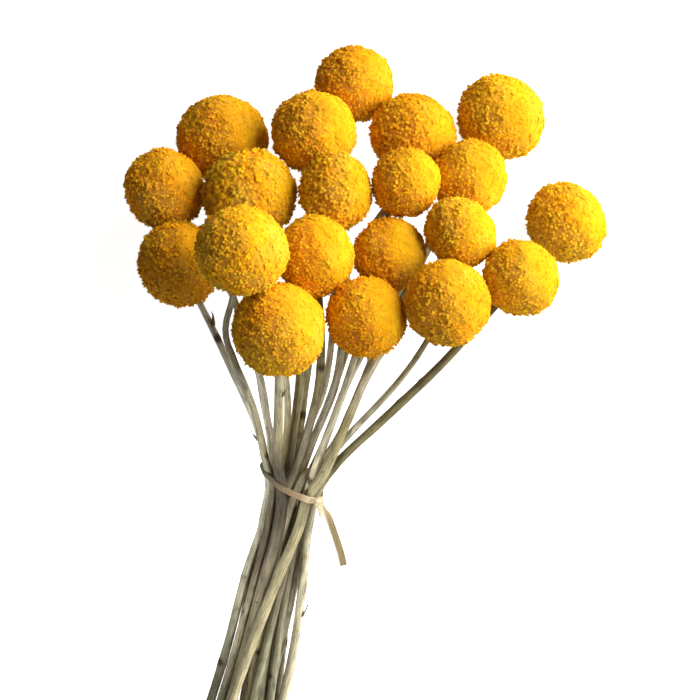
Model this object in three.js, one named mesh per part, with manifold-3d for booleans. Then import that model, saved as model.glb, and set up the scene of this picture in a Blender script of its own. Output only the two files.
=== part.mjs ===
import * as THREE from "three";
import { mergeVertices } from "three/addons/utils/BufferGeometryUtils.js";
import Module from "manifold-3d";

// A bunch of twenty dried billy buttons (craspedia), tied with one strip of raffia and laid down.
// Millimetres, +Z up. The table is z = 0, +Y runs along the bunch from the cut ends to the heads.
// Places in x and y are measured from the middle of the tie until the whole bunch is centred.

const wasm = await Module();
wasm.setup();

// Driving dimensions
const touchGap = 0.35; // clearance kept between pieces that touch
const tieHeight = 38; // middle of the tie above the table
const headsMiddle = new THREE.Vector3(22, 92, 45); // middle of the dome of heads
const cutEndsMiddle = new THREE.Vector3(-49, -261, 16); // middle of the fan of cut ends
const cutEndsWide = 40; // half the width of the fan of cut ends
const cutEndsDeep = 18; // half its height, flattened by lying on the table
const cutEndsUneven = 5; // stems are cut up to this much longer or shorter
const spiralTurn = 55; // degrees that most stems turn about the bunch from the tie to their cut ends
const crossingTurns = { 12: 0, 16: 120, 17: 0, 20: 75, "02": 105, "07": 140, "03": 90 }; // these turn so
const tieTurns = { 16: 50, 20: -60 }; // degrees that these turn from their heads to the tie
const stemRadiusAtHead = 1.2;
const stemRadiusAtTie = 1.6;
const stemRadiusAtCut = 1.7;
const socketDepth = 4.5; // how far a stem reaches into its head
const neckLength = 4; // straight stem just below its head
const springiness = 0.8; // share of its neighbours' bending that each place on a stem takes up
const restingFlat = 0.5; // how far a head that lies on the table is pressed flat
const headClearance = 0.7; // between a stem and the heads that it passes
const bandWidth = 2.4;
const bandThickness = 0.6;
const bandRise = 1.7; // the band sits this far towards the heads from the middle of the tie
const knotRadius = 1.9;
const knotCorner = 3; // the corner of the band that the knot sits on, counted up from its +X side
const knotRise = 1.2; // and the knot sits this far towards the heads from the band's middle
const tailWidth = 2.5; // the strip's long loose end
const stubWidth = 1.4; // and its short one
const bandSlant = THREE.MathUtils.degToRad(29); // the band's +X side sits nearer to the cut ends
const bandLean = THREE.MathUtils.degToRad(18); // and so does its top

// Each head: its middle, widest radius, height over width, its stem's thickness as a share of the
// usual one, and the heads it lies on.
const heads = [
  { name: "01", x: 21, y: 139, radius: 13.4, flatness: 0.97, stem: 0.9, over: [] },
  { name: "02", x: -25, y: 119.7, radius: 15.8, flatness: 0.93, stem: 0.9, over: [] },
  { name: "03", x: 7.2, y: 121, radius: 14.4, flatness: 0.97, stem: 1, over: ["01"] },
  { name: "04", x: 41.3, y: 121, radius: 14.6, flatness: 0.94, stem: 0.9, over: ["01"] },
  { name: "05", x: 72, y: 127.3, radius: 15, flatness: 0.96, stem: 0.95, over: [] },
  { name: "06", x: -44.2, y: 101.5, radius: 13.3, flatness: 1.05, stem: 0.9, over: ["02"] },
  { name: "07", x: -14.7, y: 99.3, radius: 15.7, flatness: 0.95, stem: 0.85, over: ["02", "03"] },
  { name: "08", x: 14.7, y: 100, radius: 12.1, flatness: 1.06, stem: 0.8, over: ["03"] },
  { name: "09", x: 38.3, y: 103.2, radius: 11.2, flatness: 1.06, stem: 0.95, over: ["04", "10"] },
  { name: "10", x: 60.5, y: 105.3, radius: 12.4, flatness: 1.05, stem: 0.9, over: ["04", "05"] },
  { name: "11", x: 94.9, y: 90.8, radius: 14, flatness: 0.93, stem: 0.9, over: [] },
  { name: "12", x: -38.5, y: 75.8, radius: 13.9, flatness: 1.03, stem: 0.92, over: ["06"] },
  { name: "13", x: -16, y: 79, radius: 15.3, flatness: 0.92, stem: 0.85, over: ["07", "12", "14", "18"] },
  { name: "14", x: 8, y: 78, radius: 12.8, flatness: 1.05, stem: 1.05, over: ["07", "08", "15"] },
  { name: "15", x: 33, y: 78.9, radius: 12, flatness: 1.03, stem: 0.95, over: ["09"] },
  { name: "16", x: 56.8, y: 86, radius: 12.6, flatness: 0.87, stem: 1.2, over: ["10", "15"] },
  { name: "17", x: 76.8, y: 70.6, radius: 12.8, flatness: 0.98, stem: 0.95, over: ["16"] },
  { name: "18", x: -4.2, y: 53.2, radius: 15.4, flatness: 1.01, stem: 1.15, over: ["14"] },
  { name: "19", x: 25, y: 57.3, radius: 13.3, flatness: 0.99, stem: 0.95, over: ["14", "15"] },
  { name: "20", x: 52, y: 62.1, radius: 14.2, flatness: 1, stem: 0.8, over: ["15", "16", "17"] },
];

// Stems on top of the bunch pass through these places, each a y and an x.
const topRoutes = {
  "01": [[37, 4.2], [29.5, 3.5], [22, 2.8], [14, 1.5]],
  "03": [[37, 1.8], [29.5, 1.5], [22, 0.8], [14, -0.6], [7.5, -1.9]],
  "06": [[37, -10.7], [29.5, -10.4], [16, -7.7], [9, -6.7]],
  "07": [[33, -1.9], [19, -1.9], [11, -2.9]],
  "08": [[40, 13.8], [29.5, 9.6], [16, 3.2]],
  "09": [[36, 15.2], [27, 11.6], [17.5, 7.9], [6, 1.5]],
  12: [[51, -26], [42, -22], [32.5, -17.5], [25, -14], [16.5, -10.8], [8.5, -9.1], [-1.5, -7.9],
    [-11.5, -9.9], [-18, -11.9], [-25, -14.5], [-32, -17.6], [-39, -19.6], [-52, -21.3], [-66, -26],
    [-90, -33.5]],
  13: [[58, -23.8], [49, -20.9], [35, -15.8], [22, -11.4], [9, -9.5]],
  14: [[44, 9.9], [29.5, 8.2], [16, 4.2], [9, 2.1]],
  16: [[44, 27.2], [29.5, 21.6], [20, 17.4], [10, 13.1], [-2, 7.6], [-14.5, 2.5], [-21, -1.2],
    [-31.5, -6], [-47, -11.8], [-67, -19.2], [-90, -26.5]],
  17: [[46, 55.3], [37.5, 46.5], [28, 36.3], [20, 27.9], [12.5, 19.4], [5, 12.1], [0, 9], [-7, 7.2],
    [-16, 4.8], [-38, 3.2], [-57, 0.4], [-65, -1.6], [-90, -8]],
  18: [[36, -4.3], [23, -4.6], [9, -5.3]],
  19: [[44, 21], [34.5, 18], [29.5, 16.3], [20, 12.6], [12.5, 9.9], [-1, 4.9]],
  20: [[49, 46.5], [38, 37.5], [28, 29], [20, 21], [10, 12.5]],
};

// These run below another stem from the heads down to this y.
const routesShared = { "02": "06", "04": "09", "05": 16, 10: 19, 11: 17, 15: 16 };
const sharedDownTo = 6;

// The two ends of the raffia strip pass through these places, measured from the knot's middle.
const tailRoute = [[0, -0.3, 0], [1.7, -2.4, 0.2], [3.5, -5.9, -0.4], [5.2, -10.9, -1.8],
  [7, -16.6, -3.6], [8.3, -22, -5.4]];
const stubRoute = [[0, -0.3, 0.5], [0.8, -2.6, 1.2], [1.6, -5.6, 1.3]];

// Dead leaf scales left on stems: how far below the head, on which side (0 right, 90 up), length.
const leafScales = [
  { stem: "12", fromHead: 6, side: 20, length: 5.5 },
  { stem: "06", fromHead: 42, side: 10, length: 4.5 },
  { stem: "18", fromHead: 5, side: 5, length: 4 },
  { stem: "16", fromHead: 31, side: 5, length: 5 },
  { stem: "12", fromHead: 48, side: 165, length: 4.5 },
  { stem: "17", fromHead: 34, side: 250, length: 5 },
  { stem: "11", fromHead: 62, side: 60, length: 5.5 },
  { stem: "05", fromHead: 30, side: 20, length: 5 },
  { stem: "17", fromHead: 128, side: 0, length: 5 },
];

const tieMiddle = new THREE.Vector3(0, 0, tieHeight);
const tiny = new THREE.Vector3(0, 0, 0.01);
const up = new THREE.Vector3(0, 0, 1);
const bunchAxis = headsMiddle.clone().sub(cutEndsMiddle).normalize();
const across = bunchAxis.clone().cross(up).normalize();
const outward = across.clone().cross(bunchAxis).normalize();

// ---- Heads: each lies on the heads below it, or on the table ----

function stackHeads() {
  const byName = Object.fromEntries(heads.map((head) => [head.name, head]));
  heads.forEach((head) => {
    head.halfHeight = head.radius * head.flatness;
    head.reach = Math.max(head.radius, (head.radius + head.halfHeight) / 2);
    head.z = head.reach - restingFlat;
  });
  for (let pass = 0; pass < heads.length; pass += 1) {
    for (const head of heads) {
      for (const lower of head.over.map((name) => byName[name])) {
        const apart = Math.hypot(head.x - lower.x, head.y - lower.y);
        const reach = head.reach + lower.reach + touchGap;
        const rise = reach > apart ? Math.sqrt(reach * reach - apart * apart) : 1;
        head.z = Math.max(head.z, lower.z + rise);
      }
    }
  }
  heads.forEach((head) => { head.middle = new THREE.Vector3(head.x, head.y, head.z); });
}

// ---- Stems: stations from the tip inside the head, through the tie, to the cut end ----

const upperSteps = 8;
const lowerSteps = 9;
const tieStation = upperSteps + 1;
const lastStation = tieStation + lowerSteps;
const stationCrowding = 1.4; // above 1, stations stand closer together near the tie
const unevenStep = 2.4; // radians between the cut lengths of one stem and the next
const looseness = 1.15; // reach of the stems in the tie over that of a solid bundle
const waistReach = Math.sqrt(heads.length) * (stemRadiusAtTie + touchGap / 2) * looseness
  - stemRadiusAtTie;
const waistFlatness = 1.12; // the tied waist is this much wider than a round one, and less deep
const waistWide = waistReach * waistFlatness;
const waistDeep = waistReach / waistFlatness;

function stemRadius(head, station) {
  const radius = station <= tieStation
    ? THREE.MathUtils.lerp(stemRadiusAtHead, stemRadiusAtTie, station / tieStation)
    : THREE.MathUtils.lerp(stemRadiusAtTie, stemRadiusAtCut, (station - tieStation) / lowerSteps);
  return radius * head.stem;
}

// A place in the cross-section of the bunch, from an angle and two half widths.
function inSection(middle, angle, wide, deep) {
  return middle.clone()
    .addScaledVector(across, wide * Math.cos(angle))
    .addScaledVector(outward, deep * Math.sin(angle));
}

function layOutStems() {
  const bySpread = heads.map((head) => {
    const offset = head.middle.clone().sub(headsMiddle);
    const sideways = offset.dot(across);
    const outwards = offset.dot(outward);
    return { head, spread: Math.hypot(sideways, outwards), angle: Math.atan2(outwards, sideways) };
  }).sort((a, b) => a.spread - b.spread);

  bySpread.forEach(({ head, angle }, rank) => {
    const share = Math.sqrt((rank + 0.5) / heads.length);
    const atTie = angle + THREE.MathUtils.degToRad(tieTurns[head.name] ?? 0);
    const waist = inSection(tieMiddle, atTie, share * waistWide, share * waistDeep);
    const turned = angle + THREE.MathUtils.degToRad(crossingTurns[head.name] ?? spiralTurn);
    head.cutEnd = inSection(cutEndsMiddle, turned, share * cutEndsWide, share * cutEndsDeep)
      .addScaledVector(bunchAxis, cutEndsUneven * Math.sin(rank * unevenStep));
    const neckShare = (head.halfHeight + neckLength) / head.middle.distanceTo(waist);
    const neck = head.middle.clone().lerp(waist, neckShare);
    head.route = Array.from({ length: lastStation + 1 }, (_, station) => (
      waist.clone().lerp(station < tieStation ? neck : head.cutEnd, shareFromTie(station))));
    head.route[0] = head.middle.clone();
  });
}

// How far a station is on the way from the tie to the neck or to the cut end.
function shareFromTie(station) {
  const share = station < tieStation
    ? (tieStation - station) / upperSteps
    : (station - tieStation) / lowerSteps;
  return share ** stationCrowding;
}

// Slides each station along its stem until it is its own share of the way from the tie again.
function spaceOut(head, heldUpTo) {
  const { route } = head;
  for (let station = heldUpTo + 1; station < lastStation; station += 1) {
    if (station <= 1 || station === tieStation) continue;
    const far = route[station < tieStation ? 1 : lastStation].y;
    const wantedY = THREE.MathUtils.lerp(route[tieStation].y, far, shareFromTie(station));
    const along = route[station + 1].clone().sub(route[station - 1]);
    route[station].addScaledVector(along, (wantedY - route[station].y) / along.y);
  }
}

// Shares along segments a-b and c-d of their nearest points.
function nearestShares(a, b, c, d) {
  const first = b.clone().sub(a);
  const second = d.clone().sub(c);
  const between = a.clone().sub(c);
  const aa = first.dot(first);
  const bb = second.dot(second);
  const ab = first.dot(second);
  const ac = first.dot(between);
  const bc = second.dot(between);
  const spread = aa * bb - ab * ab;
  let s = spread > 1e-9 ? THREE.MathUtils.clamp((ab * bc - ac * bb) / spread, 0, 1) : 0;
  const t = THREE.MathUtils.clamp((ab * s + bc) / bb, 0, 1);
  s = THREE.MathUtils.clamp((ab * t - ac) / aa, 0, 1);
  return [s, t];
}

// Moves the free ends of two stem segments until their middle lines are as far apart as needed.
function pushApart(routeA, i, routeB, j, needed, heldUpTo) {
  const [a, b, c, d] = [routeA[i], routeA[i + 1], routeB[j], routeB[j + 1]];
  const [s, t] = nearestShares(a, b, c, d);
  const away = a.clone().lerp(b, s).sub(c.clone().lerp(d, t));
  const distance = away.length();
  if (distance >= needed || distance < 1e-6) return;
  const corners = [[a, i, 1 - s], [b, i + 1, s], [c, j, t - 1], [d, j + 1, -t]];
  const free = corners.filter(([, station]) => station > heldUpTo);
  const total = free.reduce((sum, [, , share]) => sum + share * share, 0);
  if (total < 1e-6) return;
  away.multiplyScalar((needed - distance) / distance / total);
  free.forEach(([corner, , share]) => corner.addScaledVector(away, share));
}

const stemReach = 5; // segments that lie this much further along the bunch don't touch

function separateStems(heldUpTo) {
  for (let m = 0; m < heads.length; m += 1) {
    for (let n = m + 1; n < heads.length; n += 1) {
      const routeA = heads[m].route;
      const routeB = heads[n].route;
      for (let i = 0; i < lastStation; i += 1) {
        for (let j = 0; j < lastStation; j += 1) {
          if (routeA[i].y < routeB[j + 1].y - stemReach) continue;
          if (routeB[j].y < routeA[i + 1].y - stemReach) continue;
          const thickness = thickest(heads[m], i) + thickest(heads[n], j);
          pushApart(routeA, i, routeB, j, thickness + touchGap, heldUpTo);
        }
      }
    }
  }
}

function thickest(head, step) {
  return Math.max(stemRadius(head, step), stemRadius(head, step + 1));
}

// Keeps each stem clear of every head but its own.
function clearHeads(heldUpTo) {
  for (const stem of heads) {
    for (const other of heads.filter((head) => head !== stem)) {
      for (let station = 1; station <= tieStation; station += 1) {
        const before = stem.route[station - 1];
        const here = stem.route[station];
        const [share] = nearestShares(before, here, other.middle, other.middle.clone().add(tiny));
        const away = before.clone().lerp(here, share).sub(other.middle);
        const distance = away.length();
        const needed = other.reach + stemRadius(stem, station) + headClearance;
        if (distance >= needed) continue;
        away.multiplyScalar((needed - distance) / distance);
        if (station > heldUpTo) here.add(away);
        if (station - 1 > heldUpTo) before.add(away);
      }
    }
  }
}

function bendAt(route, station) {
  if (station === 0 || station === lastStation) return new THREE.Vector3();
  const [before, here, after] = route.slice(station - 1, station + 2);
  const lengthBefore = before.distanceTo(here);
  const lengthAfter = here.distanceTo(after);
  const onChord = before.clone().lerp(after, lengthBefore / (lengthBefore + lengthAfter));
  return here.clone().sub(onChord).multiplyScalar(1 / (lengthBefore * lengthAfter));
}

// Evens out the bending along a stem and eases it a little, as a springy stalk does.
function springBack(route, amount, heldUpTo) {
  const bends = route.map((place, station) => bendAt(route, station));
  for (let station = heldUpTo + 1; station < lastStation; station += 1) {
    const [before, here, after] = route.slice(station - 1, station + 2);
    const reach = here.distanceTo(before) * here.distanceTo(after);
    const wanted = bends[station - 1].clone().add(bends[station + 1]).multiplyScalar(springiness / 2);
    here.addScaledVector(wanted.sub(bends[station]), amount * reach);
  }
}

function gatherAtTie(route) {
  const place = route[tieStation];
  const offset = place.clone().sub(tieMiddle);
  const inWaist = new THREE.Vector2(offset.dot(across) / waistWide, offset.dot(outward) / waistDeep);
  inWaist.clampLength(0, 1);
  place.copy(tieMiddle).addScaledVector(across, inWaist.x * waistWide)
    .addScaledVector(outward, inWaist.y * waistDeep);
}

function keepAboveTable(head, heldUpTo) {
  head.route.forEach((place, station) => {
    if (station > heldUpTo) place.z = Math.max(place.z, stemRadius(head, station));
  });
}

// Draws a stem towards the places that it passes through.
function followTopRoute(head, amount, heldUpTo) {
  const own = topRoutes[head.name];
  const places = own ?? topRoutes[routesShared[head.name]] ?? [];
  for (let station = heldUpTo + 1; station < lastStation; station += 1) {
    const here = head.route[station];
    const next = places.findIndex(([y]) => y <= here.y);
    if (next < 1 || (!own && here.y < sharedDownTo)) continue;
    const [[fromY, fromX], [toY, toX]] = [places[next - 1], places[next]];
    const wantedX = THREE.MathUtils.mapLinear(here.y, fromY, toY, fromX, toX);
    here.x = THREE.MathUtils.lerp(here.x, wantedX, amount);
  }
}

const stemStiffness = 0.3; // share of each correction that is made in one round
const routeStrength = 0.5; // share of the way to its top route that a stem is drawn in one round
const roundsToFindWay = 120;
const roundsToSettle = 200;
const roundsToMoveApart = 80;

function relax(rounds, stiffness, heldUpTo) {
  for (let round = 0; round < rounds; round += 1) {
    heads.forEach((head) => {
      const { route, cutEnd } = head;
      springBack(route, stiffness, heldUpTo);
      if (stiffness > 0) followTopRoute(head, routeStrength, heldUpTo);
      spaceOut(head, heldUpTo);
      route[lastStation].lerp(cutEnd, stiffness);
      if (stiffness > 0) gatherAtTie(route);
      keepAboveTable(head, heldUpTo);
    });
    clearHeads(heldUpTo);
    separateStems(heldUpTo);
  }
}

// First the stems find their way out from under the heads, then each neck is held in line with its
// head while the stems settle side by side, and last they only move apart.
function settleStems() {
  layOutStems();
  relax(roundsToFindWay, stemStiffness, 0);
  heads.forEach((head) => {
    const onStem = (reach) => head.middle.clone().addScaledVector(head.downStem, reach);
    head.downStem = head.route[1].clone().sub(head.middle).normalize();
    head.route[0] = onStem(head.halfHeight - socketDepth + touchGap);
    head.route[1] = onStem(head.halfHeight + neckLength);
  });
  relax(roundsToSettle, stemStiffness, 1);
  relax(roundsToMoveApart, 0, 1);
}

stackHeads();
settleStems();

// ---- Solids: closed meshes joined or cut where pieces need it ----

const weldDistance = 1e-4;

function asSolid(geometry) {
  const bare = geometry.clone();
  bare.deleteAttribute("normal");
  bare.deleteAttribute("uv");
  const merged = mergeVertices(bare, weldDistance);
  return new wasm.Manifold(new wasm.Mesh({
    numProp: 3,
    vertProperties: merged.attributes.position.array,
    triVerts: Uint32Array.from(merged.index.array),
  }));
}

function asGeometry(solid) {
  const { vertProperties, triVerts } = solid.getMesh();
  const geometry = new THREE.BufferGeometry();
  geometry.setAttribute("position", new THREE.BufferAttribute(vertProperties, 3));
  geometry.setIndex(new THREE.BufferAttribute(triVerts, 1));
  geometry.computeVertexNormals();
  return geometry;
}

// Moves every vertex of a straight geometry to the place that a bent one has there.
function reshape(geometry, placeOf) {
  const position = geometry.attributes.position;
  const vertex = new THREE.Vector3();
  for (let n = 0; n < position.count; n += 1) {
    const place = placeOf(vertex.fromBufferAttribute(position, n));
    position.setXYZ(n, place.x, place.y, place.z);
  }
  geometry.computeVertexNormals();
  return geometry;
}

// ---- Heads: round domes of florets with a socket for the stem ----

const headSegments = 14;
const headArcSteps = 8;

function headGeometry(head) {
  const socketRadius = stemRadius(head, 1) + touchGap;
  const socketEnd = head.halfHeight - socketDepth;
  const profile = [new THREE.Vector2(0, -socketEnd), new THREE.Vector2(socketRadius, -socketEnd)];
  const rimAngle = Math.asin(socketRadius / head.radius);
  for (let step = 0; step <= headArcSteps; step += 1) {
    const angle = THREE.MathUtils.lerp(rimAngle, Math.PI, step / headArcSteps);
    const wide = step < headArcSteps ? head.radius * Math.sin(angle) : 0;
    profile.push(new THREE.Vector2(wide, -head.halfHeight * Math.cos(angle)));
  }
  return new THREE.LatheGeometry(profile, headSegments);
}

function headMesh(head) {
  const mesh = new THREE.Mesh(headGeometry(head), florets);
  mesh.position.copy(head.middle);
  mesh.quaternion.setFromUnitVectors(up.clone().negate(), head.downStem);
  mesh.quaternion.multiply(new THREE.Quaternion().setFromUnitVectors(new THREE.Vector3(0, 1, 0), up));
  return head.over.length > 0 ? mesh : pressedFlat(mesh);
}

const slabWidth = 60; // wider than any head
const slabDepth = 10;

// A head that lies on the table is flat where it touches it.
function pressedFlat(mesh) {
  mesh.updateMatrix();
  const slab = new THREE.BoxGeometry(slabWidth, slabWidth, slabDepth)
    .translate(mesh.position.x, mesh.position.y, -slabDepth / 2);
  const rounded = asSolid(mesh.geometry.clone().applyMatrix4(mesh.matrix));
  return new THREE.Mesh(asGeometry(rounded.subtract(asSolid(slab))), mesh.material);
}

// ---- Stems: tapering stalks swept through their stations ----

const stemSides = 8;

// Directions across a stem at each station, carried along it without twisting.
function stemFrames(route) {
  let side = across.clone();
  return route.map((place, station) => {
    const before = route[Math.max(station - 1, 0)];
    const after = route[Math.min(station + 1, lastStation)];
    const along = after.clone().sub(before).normalize();
    side = side.clone().addScaledVector(along, -side.dot(along)).normalize();
    return { place, along, side, top: side.clone().cross(along).normalize() };
  });
}

function stemGeometry(head) {
  const frames = stemFrames(head.route);
  const straight = new THREE.CylinderGeometry(1, 1, 1, stemSides, lastStation);
  return reshape(straight, (vertex) => {
    const station = Math.round((0.5 - vertex.y) * lastStation);
    const frame = frames[station];
    return frame.place.clone()
      .addScaledVector(frame.side, vertex.x * stemRadius(head, station))
      .addScaledVector(frame.top, -vertex.z * stemRadius(head, station));
  });
}

// ---- Leaf scales: small dry slips that stand off the stem towards its head ----

const scaleHalfWidth = 0.9;
const scaleHalfThickness = 0.25;
const scaleSides = 6;
const scaleLean = THREE.MathUtils.degToRad(16);

function leafScaleGeometry({ stem, fromHead, side, length }) {
  const grownOn = heads.find((head) => head.name === stem);
  const { route } = grownOn;
  const frames = stemFrames(route);
  let station = 1;
  let left = fromHead;
  while (left > route[station].distanceTo(route[station + 1])) {
    left -= route[station].distanceTo(route[station + 1]);
    station += 1;
  }
  const share = left / route[station].distanceTo(route[station + 1]);
  const { along } = frames[station + Math.round(share)];
  const place = route[station].clone().lerp(route[station + 1], share);
  const turn = THREE.MathUtils.degToRad(side);
  const away = across.clone().multiplyScalar(Math.cos(turn)).addScaledVector(outward, Math.sin(turn));
  away.addScaledVector(along, -away.dot(along)).normalize();
  const lengthwise = along.clone().multiplyScalar(-Math.cos(scaleLean))
    .addScaledVector(away, Math.sin(scaleLean));
  const flatwise = away.clone().addScaledVector(lengthwise, -away.dot(lengthwise)).normalize();
  const sideways = lengthwise.clone().cross(flatwise);
  const start = place.addScaledVector(away, thickest(grownOn, station) + touchGap + scaleHalfThickness);
  return reshape(new THREE.ConeGeometry(1, length, scaleSides), (vertex) => start.clone()
    .addScaledVector(lengthwise, vertex.y + length / 2)
    .addScaledVector(sideways, vertex.x * scaleHalfWidth)
    .addScaledVector(flatwise, vertex.z * scaleHalfThickness));
}

// ---- Raffia tie: a band drawn round the stems, its knot and its two ends ----

const bandAcross = new THREE.Vector3(Math.cos(bandSlant), -Math.sin(bandSlant), 0);
const bandUp = up.clone().applyAxisAngle(bandAcross, bandLean);
const bandNormal = bandUp.clone().cross(bandAcross);
const bandMiddle = tieMiddle.clone().add(new THREE.Vector3(0, bandRise, 0));
const bandSides = 36;
const sectionStep = 0.04; // share of a stem segment from one section to the next
const sectionMargin = 1; // sections are taken this far past the band's edges
const tailSteps = 10;
const stubSteps = 4;

// Round sections of the stems where the band passes over them.
function stemSectionsUnderBand() {
  const sections = [];
  for (const head of heads) {
    for (let station = 2; station < lastStation; station += 1) {
      for (let share = 0; share < 1; share += sectionStep) {
        const place = head.route[station].clone().lerp(head.route[station + 1], share)
          .sub(bandMiddle);
        if (Math.abs(place.dot(bandNormal)) > bandWidth / 2 + sectionMargin) continue;
        const radius = thickest(head, station);
        sections.push({ x: place.dot(bandAcross), y: place.dot(bandUp), radius });
      }
    }
  }
  return sections;
}

// The tight outline round all sections, at a clearance from them.
function tightOutline(sections, clearance) {
  const turn = (2 * Math.PI) / bandSides;
  const reachAt = (side) => Math.max(...sections.map(({ x, y, radius }) => (
    x * Math.cos(side * turn) + y * Math.sin(side * turn) + radius + clearance)));
  return Array.from({ length: bandSides }, (_, side) => {
    const [here, next] = [reachAt(side), reachAt(side + 1)];
    const [angle, nextAngle] = [side * turn, (side + 1) * turn];
    return new THREE.Vector2(
      (here * Math.sin(nextAngle) - next * Math.sin(angle)) / Math.sin(turn),
      (next * Math.cos(angle) - here * Math.cos(nextAngle)) / Math.sin(turn),
    );
  });
}

function bandPlace(point) {
  return bandMiddle.clone().addScaledVector(bandAcross, point.x).addScaledVector(bandUp, point.y);
}

function bandGeometry(sections) {
  const outline = new THREE.Shape(tightOutline(sections, touchGap + bandThickness));
  outline.holes.push(new THREE.Path(tightOutline(sections, touchGap)));
  const ring = new THREE.ExtrudeGeometry(outline, { depth: bandWidth, bevelEnabled: false });
  return reshape(ring, (vertex) => bandPlace(vertex)
    .addScaledVector(bandNormal, bandWidth / 2 - vertex.z));
}

// A flat strip along a route, its wide side facing up.
function stripGeometry(places, width, steps) {
  const route = new THREE.CatmullRomCurve3(places);
  const strip = new THREE.BoxGeometry(width, bandThickness, 1, 1, 1, steps);
  return reshape(strip, (vertex) => {
    const share = THREE.MathUtils.clamp(vertex.z + 0.5, 0, 1);
    const along = route.getTangent(share);
    const wide = up.clone().cross(along).normalize();
    const thick = along.clone().cross(wide);
    return route.getPoint(share)
      .addScaledVector(wide, vertex.x)
      .addScaledVector(thick, vertex.y);
  });
}

function raffiaTieGeometry() {
  const sections = stemSectionsUnderBand();
  const knotPlace = bandPlace(tightOutline(sections, touchGap + knotRadius)[knotCorner])
    .addScaledVector(bandNormal, knotRise);
  const knot = new THREE.SphereGeometry(knotRadius, 12, 8)
    .translate(knotPlace.x, knotPlace.y, knotPlace.z);
  const fromKnot = (places) => places.map((place) => knotPlace.clone().add(new THREE.Vector3(...place)));
  const tail = stripGeometry(fromKnot(tailRoute), tailWidth, tailSteps);
  const stub = stripGeometry(fromKnot(stubRoute), stubWidth, stubSteps);
  const tie = asSolid(bandGeometry(sections)).add(asSolid(knot)).add(asSolid(tail)).add(asSolid(stub));
  return asGeometry(tie);
}

// ---- The bunch ----

const florets = new THREE.MeshStandardMaterial({ name: "florets", color: 0xf2b20c, roughness: 0.95 });
const stalk = new THREE.MeshStandardMaterial({ name: "stalk", color: 0x9b9376, roughness: 0.8 });
const raffia = new THREE.MeshStandardMaterial({ name: "raffia", color: 0xb0986e, roughness: 0.75 });
const dryLeaf = new THREE.MeshStandardMaterial({ name: "dry_leaf", color: 0x5a4a33, roughness: 0.9 });

function named(name, mesh) {
  mesh.name = name;
  return mesh;
}

const bunch = new THREE.Group();
for (const head of heads) {
  bunch.add(named(`head_${head.name}`, headMesh(head)));
  bunch.add(named(`stem_${head.name}`, new THREE.Mesh(stemGeometry(head), stalk)));
}
leafScales.forEach((scale, index) => {
  const name = `leaf_scale_${String(index + 1).padStart(2, "0")}`;
  bunch.add(named(name, new THREE.Mesh(leafScaleGeometry(scale), dryLeaf)));
});
bunch.add(named("raffia_tie", new THREE.Mesh(raffiaTieGeometry(), raffia)));

// The bunch is centred over its origin and lies on z = 0.
const size = new THREE.Box3().setFromObject(bunch);
bunch.position.set(-(size.min.x + size.max.x) / 2, -(size.min.y + size.max.y) / 2, -size.min.z);

export default bunch;
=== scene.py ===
import math
import random
import bmesh
import bpy
from mathutils import Matrix, Vector, noise
from mathutils.geometry import convex_hull_2d


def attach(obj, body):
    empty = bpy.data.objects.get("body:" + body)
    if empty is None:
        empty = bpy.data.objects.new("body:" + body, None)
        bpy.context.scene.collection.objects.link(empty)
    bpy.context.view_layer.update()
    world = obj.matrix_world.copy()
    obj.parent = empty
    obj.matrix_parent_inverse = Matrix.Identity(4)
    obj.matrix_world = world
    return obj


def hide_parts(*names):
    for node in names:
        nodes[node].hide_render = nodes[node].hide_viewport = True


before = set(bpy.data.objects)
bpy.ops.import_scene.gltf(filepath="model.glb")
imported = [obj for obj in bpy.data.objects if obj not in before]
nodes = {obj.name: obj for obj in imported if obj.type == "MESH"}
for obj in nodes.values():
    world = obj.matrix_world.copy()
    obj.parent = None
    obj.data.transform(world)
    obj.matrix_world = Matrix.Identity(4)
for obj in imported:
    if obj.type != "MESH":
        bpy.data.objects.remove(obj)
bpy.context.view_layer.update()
mm = 0.001


view = {                    # straight down on the bunch
    "aimX": 8.36 * mm,
    "aimY": 105.9 * mm,
    "height": 1.2,
    "lens": 175.5,
    "sensor": 36,
    "farthest": 20,
}
studio = {
    "floorSize": 6.0,
    "floorColour": (0.93, 0.93, 0.92),
    "skyColour": (1.0, 1.0, 1.0),
    "skyStrength": 0.09,
    "floorRoughness": 0.9,
    "floorGlow": 0.85,                  # the glows are seen by the camera only and light nothing
    "skyGlow": 0.85,
    "keyFrom": (0.85, 0.35, 0.42),      # direction from the heads to the lamp
    "keyDistance": 1.3,
    "keySize": 1.8,
    "keyPower": 53.0,
    "keyColour": (1.0, 0.98, 0.94),
    "rimFrom": (-0.25, -0.95, 0.12),
    "rimDistance": 1.1,
    "rimSize": 0.7,
    "rimPower": 4.0,
    "rimColour": (1.0, 1.0, 1.0),
    "headsMiddle": (8.4 * mm, 105.9 * mm, 40 * mm),
    "stemsMiddle": (-30 * mm, 48 * mm, 38 * mm),
    "fillFrom": (-0.8, -0.5, 0.6),      # a small lamp on the stems alone
    "fillDistance": 0.4,
    "fillCone": math.radians(13),
    "fillBlend": 0.6,
    "fillSoftness": 0.02,
    "fillPower": 6.5,
    "shadeMiddle": (-12 * mm, 58 * mm, 0),      # the floor doesn't glow under the tied waist, so it shows darker there: a painted shadow
    "shadeReach": (5 * mm, 10 * mm),
}


def deselectAll():
    if bpy.context.object and bpy.context.object.mode != "OBJECT":
        bpy.ops.object.mode_set(mode="OBJECT")
    bpy.ops.object.select_all(action="DESELECT")


def selectOnly(piece):
    deselectAll()
    piece.select_set(True)
    bpy.context.view_layer.objects.active = piece


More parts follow.
